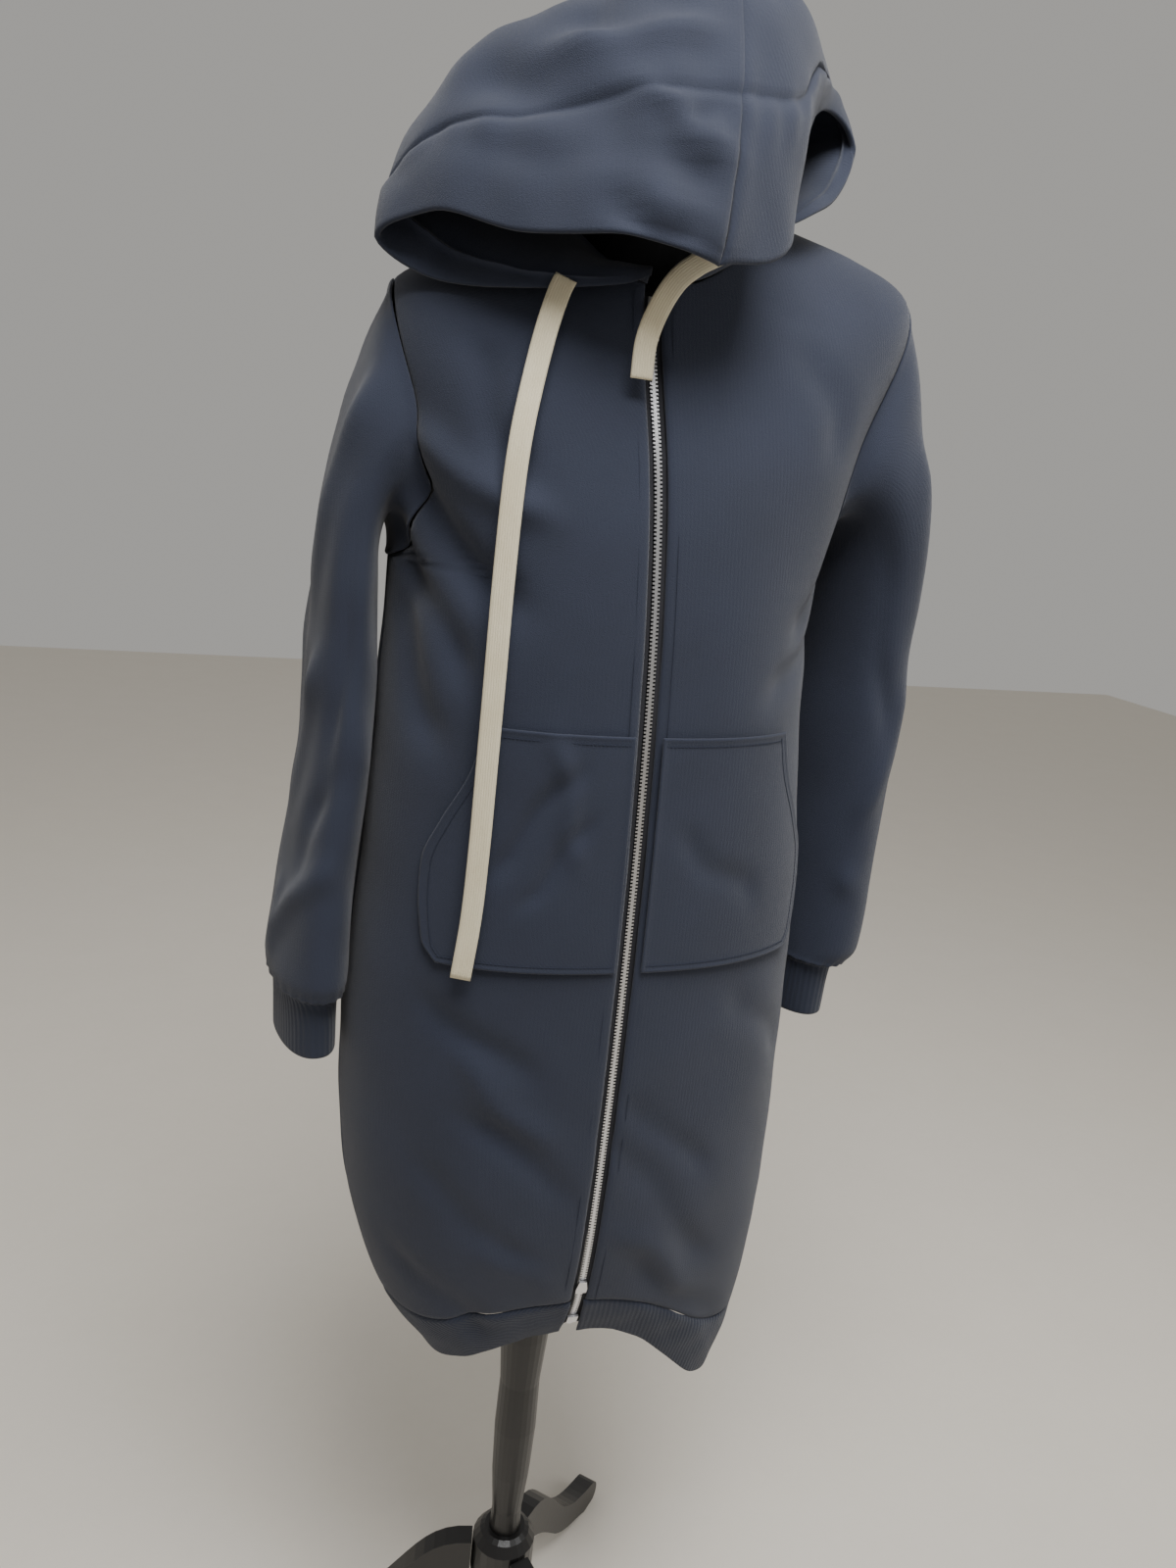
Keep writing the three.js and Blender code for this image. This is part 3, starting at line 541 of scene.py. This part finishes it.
# ---- Hood: two panels joined over the crown, slumped forward, its front edge turned in as a casing.
CASING, CASING_WALL = 0.86, 4.4
RIM_RIGHT = [
    (-180, 0, -178, 1432), (-150, -60, -172, 1443), (-125, -130, -135, 1440), (-105, -180, -100, 1450),
    (-88, -213, -62, 1434), (-70, -180, -72, 1412), (-45, -120, -98, 1410), (-20, -50, -112, 1420), (0, -18, -110, 1432),
]
RIM_LEFT = [
    (0, -12, -110, 1432), (25, 30, -104, 1452), (50, 85, -84, 1480), (72, 140, -56, 1512), (90, 165, -30, 1556),
    (108, 130, -40, 1578), (128, 90, -90, 1545), (150, 60, -150, 1455), (180, 0, -178, 1432),
]
HOOD_LINES = [
    # at   rise_x _y  _z   over_x _y  _z
    (-180, 0, 43, 245, 42, 38, 314), (-150, -20, 30, 190, 0, 45, 262), (-120, -40, 10, 127, -28, 37, 202),
    (-88, -38, 20, 52, -2, 43, 105), (-45, -25, 0, 10, 10, 0, 25), (0, 0, -6, 10, 0, -2, 12),
    (45, 15, -5, 10, -5, 0, 10), (90, 20, 20, 40, -5, 30, 45), (120, 10, 20, 128, 25, -10, 93),
    (150, 5, 20, 214, 18, 22, 278), (180, 0, 43, 245, 42, 38, 314),
]
HOOD_CREASES = [
    (-150, -80, 1530, -60, -140, 1520, 20, 9), (-140, -110, 1490, -20, -165, 1490, 13, 6),
    (-110, -110, 1560, -10, -130, 1585, 12, -6), (-90, -90, 1580, -40, -120, 1560, 15, 6),
    (-60, -150, 1540, 0, -160, 1500, 10, -5), (-40, -155, 1520, 0, -160, 1530, 9, 4),
    (28, -95, 1600, 52, -80, 1606, 12, 11), (10, -105, 1592, 34, -100, 1580, 8, -6),
    (0, -100, 1600, -60, -90, 1615, 9, -4), (20, -70, 1625, -10, -30, 1655, 8, 4),
    (-170, -80, 1500, -190, -60, 1470, 12, 4), (-80, -165, 1462, -30, -172, 1444, 9, 3.5),
    (-50, -170, 1466, 0, -176, 1450, 9, -3), (70, -60, 1600, 95, -60, 1560, 14, 7),
    (60, -120, 1560, 70, -110, 1500, 13, 5), (90, 0, 1620, 120, 0, 1570, 16, 4),
    (-100, 30, 1600, -120, 30, 1520, 18, 6), (-40, 60, 1620, 30, 80, 1580, 16, 5),
    (80, 60, 1560, 0, 85, 1530, 14, 5), (-140, 0, 1540, -100, 40, 1500, 14, 5),
]


def hood(ph, t):
    at = np.degrees(ph)
    n = on_body(ph, np.ones_like(ph), SEAM_LIFT)
    right, left = np.stack(row_at(RIM_RIGHT, at), -1), np.stack(row_at(RIM_LEFT, at), -1)
    r = np.where((at < 0)[..., None], right, left)
    h = np.stack(row_at(HOOD_LINES, at), -1)
    s, t = (1 - t)[..., None], t[..., None]
    return s**3 * n + 3 * s * s * t * (n + h[..., :3]) + 3 * s * t * t * (r + h[..., 3:]) + t**3 * r


for side, word in ((1, "left"), (-1, "right")):
    u = with_edges(side * float(angle_at(ZIP_HALF + 1, 1.0)), side * math.pi, 90, 0.012)
    if side < 0:
        u = u[::-1]
    t = np.array(sorted(set(with_edges(0, 1, 84, 0.005).tolist()
                            + [CASING + d for d in (-0.012, -0.006, -0.002, 0.002, 0.006, 0.012)])))
    uu, tt = u[:, None] + 0 * t[None, :], t[None, :] + 0 * u[:, None]
    p, n = hood(uu, tt), normal_of(hood, np.clip(uu, -math.pi + 2e-3, math.pi - 2e-3), tt)
    p = pressed(p, n, HOOD_CREASES) + n * lumps(p, 90, 1.6, 12)[..., None]
    reach = np.linalg.norm(hood(uu, np.ones_like(tt)) - hood(uu, 0 * tt), axis=-1)
    sewn = smooth(20, 70, reach)
    groove = 2.6 * np.exp(-((tt - CASING) / 0.009) ** 2) - 1.3 * smooth(CASING, CASING + 0.03, tt)
    pucker = 0.8 * np.exp(-((tt - CASING - 0.02) / 0.03) ** 2) * np.sin(uu * 34)
    p = p - n * ((groove + pucker) * sewn)[..., None]
    p = seam_in(p, n, 1.8, first_i=side < 0, last_i=side > 0, first_j=True)
    thick = np.where(tt > CASING, WALL + (CASING_WALL - WALL) * sewn, WALL)
    cloth(f"cloth_hood_{word}", f"hood_{word}", p, n, thick, FLEECE)

# ---- Drawcord: a flat woven cotton tape whose two cut ends hang out of the casing.
COTTON = finished("cream_cotton", (0.58, 0.5, 0.33), (0.78, 0.72, 0.55), 0.95, sheen=0.1,
                  patch_scale=40.0, grain_scale=2200.0, grain_depth=0.0006, stripe_scale=170.0, stripe_depth=0.0003)
CORD_W, CORD_T = 16.5, 2.2
CORDS = {
    "drawcord_long": (-0.35, [
        (-87, -108.8, 1420), (-92, -110.8, 1409), (-100, -117, 1385), (-108, -124, 1352), (-116, -132, 1310),
        (-120, -136, 1265), (-122, -138, 1200), (-123, -140, 1130), (-124, -141, 1060), (-125, -142, 1000),
        (-127, -142, 945), (-132, -142, 893)]),
    "drawcord_short": (-0.1, [
        (36, -106.8, 1456), (20, -114, 1448), (6, -121, 1440), (-10, -128, 1427), (-22, -131, 1408),
        (-30, -132, 1384), (-31, -132, 1357)]),
}
for name, (lean, route) in CORDS.items():
    rows = [(i, *q) for i, q in enumerate(route)]
    s = np.linspace(0, len(route) - 1, 12 * len(route))
    mid = np.stack(row_at(rows, s), -1)
    along = np.gradient(mid, axis=0)
    along /= np.linalg.norm(along, axis=-1, keepdims=True)
    wide = np.cross(along, np.array([lean, -1.0, 0]))
    wide /= np.linalg.norm(wide, axis=-1, keepdims=True)
    out = np.cross(wide, along)
    e = np.linspace(-0.5, 0.5, 9)
    ripple = 0.25 * np.sin(s * 2.1)
    p = mid[None] + e[:, None, None] * CORD_W * wide[None] + ripple[None, :, None] * out[None]
    n = np.broadcast_to(out[None], p.shape).copy()
    piece, _, _ = shell(f"tape_{name}", p, n, CORD_T, COTTON)
    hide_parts(name)

# ---- Zip: metal teeth clamped on two dark tapes, with rows of topstitching beside the fronts' edges.
METAL = finished("nickel", (0.5, 0.5, 0.52), (0.78, 0.78, 0.8), 0.28, metallic=1.0,
                 patch_scale=300.0, grain_scale=900.0, grain_depth=0.00005)
TAPE = finished("zip_tape_weave", (0.006, 0.006, 0.009), (0.016, 0.016, 0.021), 0.9,
                grain_scale=1800.0, grain_depth=0.0003)
THREAD = finished("navy_thread", (0.008, 0.012, 0.028), (0.016, 0.022, 0.044), 0.8,
                  grain_scale=900.0, grain_depth=0.0001)


def along_group():
    """Sets a shape at even steps along a line, turned to follow it."""
    g = bpy.data.node_groups.new("set_along_line", "GeometryNodeTree")
    g.interface.new_socket(name="Geometry", in_out="INPUT", socket_type="NodeSocketGeometry")
    g.interface.new_socket(name="Shape", in_out="INPUT", socket_type="NodeSocketObject")
    g.interface.new_socket(name="Step", in_out="INPUT", socket_type="NodeSocketFloat")
    g.interface.new_socket(name="Material", in_out="INPUT", socket_type="NodeSocketMaterial")
    g.interface.new_socket(name="Geometry", in_out="OUTPUT", socket_type="NodeSocketGeometry")
    n, link = g.nodes, g.links.new
    given, out = n.new("NodeGroupInput"), n.new("NodeGroupOutput")
    line, even = n.new("GeometryNodeMeshToCurve"), n.new("GeometryNodeResampleCurve")
    even.mode = "LENGTH"
    shape, put = n.new("GeometryNodeObjectInfo"), n.new("GeometryNodeInstanceOnPoints")
    follow, tangent = n.new("FunctionNodeAlignRotationToVector"), n.new("GeometryNodeInputTangent")
    follow.axis = "Y"
    real, dress = n.new("GeometryNodeRealizeInstances"), n.new("GeometryNodeSetMaterial")
    link(given.outputs["Geometry"], line.inputs[0])
    link(line.outputs[0], even.inputs["Curve"])
    link(given.outputs["Step"], even.inputs["Length"])
    link(given.outputs["Shape"], shape.inputs["Object"])
    link(tangent.outputs[0], follow.inputs["Vector"])
    link(even.outputs[0], put.inputs["Points"])
    link(shape.outputs["Geometry"], put.inputs["Instance"])
    link(follow.outputs[0], put.inputs["Rotation"])
    link(put.outputs[0], real.inputs[0])
    link(real.outputs[0], dress.inputs["Geometry"])
    link(given.outputs["Material"], dress.inputs["Material"])
    link(dress.outputs[0], out.inputs[0])
    return g


ALONG = along_group()


def block(name, size, shift=(0, 0, 0), taper=1.0):
    """A small block, mm, whose +x end is narrowed by taper."""
    sx, sy, sz = (k / 2 for k in size)
    pts = []
    for x in (-sx, sx):
        k = taper if x > 0 else 1.0
        pts += [(x + shift[0], y * k + shift[1], z * k + shift[2])
                for y, z in ((-sy, -sz), (sy, -sz), (sy, sz), (-sy, sz))]
    mesh = bpy.data.meshes.new(name)
    mesh.from_pydata([[c * MM for c in q] for q in pts], [],
                     [(3, 2, 1, 0), (4, 5, 6, 7), (0, 1, 5, 4), (1, 2, 6, 5), (2, 3, 7, 6), (3, 0, 4, 7)])
    return bpy.data.objects.new(name, mesh)


def set_along(name, points, shape, step, material):
    mesh = bpy.data.meshes.new(name + "_line")
    q = np.array(points) * MM + np.array([AXIS[0], AXIS[1], 0])
    mesh.from_pydata(q.tolist(), [(i, i + 1) for i in range(len(q) - 1)], [])
    line = bpy.data.objects.new(name + "_line", mesh)
    bpy.context.scene.collection.objects.link(line)
    bpy.context.scene.collection.objects.link(shape)
    modifier = line.modifiers.new("along", "NODES")
    modifier.node_group = ALONG
    ids = {s.name: s.identifier for s in ALONG.interface.items_tree if s.in_out == "INPUT"}
    modifier[ids["Shape"]], modifier[ids["Step"]] = shape, step * MM
    modifier[ids["Material"]] = material
    graph = bpy.context.evaluated_depsgraph_get()
    made = bpy.data.meshes.new_from_object(line.evaluated_get(graph), depsgraph=graph)
    bpy.data.objects.remove(line)
    bpy.data.objects.remove(shape)
    made.name = name
    piece = bpy.data.objects.new(name, made)
    bpy.context.scene.collection.objects.link(piece)
    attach(piece, GARMENT_BODY)
    return piece


ZIP_OFF, PITCH = -(WALL / 2 + 1.4 + 0.5), 3.0
v = np.linspace(0.012, 0.985, 900)
spine = body(0 * v, v)
face = normal_of(body, 0 * v, v)
steps = np.concatenate([[0], np.cumsum(np.linalg.norm(np.diff(spine, axis=0), axis=-1))])
tooth_line = spine + face * (ZIP_OFF + 0.35)
for name, side, lag in (("teeth_left", 1, 0.0), ("teeth_right", -1, 0.5)):
    at = np.interp(np.arange(lag * PITCH, steps[-1], PITCH), steps, np.arange(len(v)))
    pts = np.stack([np.interp(at, np.arange(len(v)), tooth_line[:, k]) for k in range(3)], -1)
    tooth = block("tooth_" + name, (4.4, 1.5, 2.3), (side * 0.95, 0, 0), 1.0)
    set_along("zip_" + name, pts, tooth, PITCH, METAL)
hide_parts("zip_chain")

STITCH, STITCH_STEP = (0.55, 2.3, 0.5), 3.1
lines = []
for side in (-1, 1):
    w = np.linspace(HEM + 0.004, 0.985, 400)
    lines.append((f"stitches_zip_{'left' if side > 0 else 'right'}",
                  body_out(angle_at(side * (ZIP_HALF + 8.5) + 0 * w, w), w, WALL / 2 + 0.05)))
for name, points in lines:
    set_along(name, points, block("stitch_" + name, STITCH), STITCH_STEP, THREAD)
for side, more, word in ((1, 8, "left"), (-1, 0, "right")):
    b = np.linspace(0.03, 0.97, 120)
    inset = 6.5
    at, reach = row_at(POCKET, b)
    outer = side * (reach + more - inset)
    edge = body_out(angle_at(outer, at), at, PATCH + WALL / 2 + 0.3)
    x = np.linspace(ZIP_HALF + 8, float(outer[-1]) * side, 90)
    top = body_out(angle_at(side * x, 0.5705 + 0 * x), 0.5705 + 0 * x, PATCH + WALL / 2 + 0.3)
    x = np.linspace(ZIP_HALF + 8, float(outer[0]) * side, 90)
    low = body_out(angle_at(side * x, 0.3985 + 0 * x), 0.3985 + 0 * x, PATCH + WALL / 2 + 0.3)
    for part, points in (("edge", edge), ("top", top), ("low", low)):
        set_along(f"stitches_pocket_{word}_{part}", points, block("s", STITCH), STITCH_STEP, THREAD)

# ---- Carried-over parts: the zip's tapes and metal, the form's jersey and the stand's black lacquer.
JERSEY = finished("black_jersey", (0.006, 0.006, 0.007), (0.014, 0.014, 0.016), 0.9,
                  grain_scale=1200.0, grain_depth=0.0002)
LACQUER = finished("black_lacquer", (0.004, 0.004, 0.004), (0.012, 0.011, 0.011), 0.32, patch_scale=25.0,
                   grain_scale=180.0, grain_depth=0.0001)
DRESSED = {
    "zip_tape_left": TAPE, "zip_tape_right": TAPE, "slider_top": METAL, "slider_low": METAL, "zip_box": METAL,
    "slider_bridge": METAL, "pull_tab": METAL, "form_torso": JERSEY, "pole": LACQUER, "hub": LACQUER,
    "leg_back": LACQUER, "leg_right": LACQUER, "leg_left": LACQUER,
}
for node, material in DRESSED.items():
    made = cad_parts[node]
    made = made if isinstance(made, bpy.types.Object) else bpy.data.objects[node]
    made.data.materials.clear()
    made.data.materials.append(material)
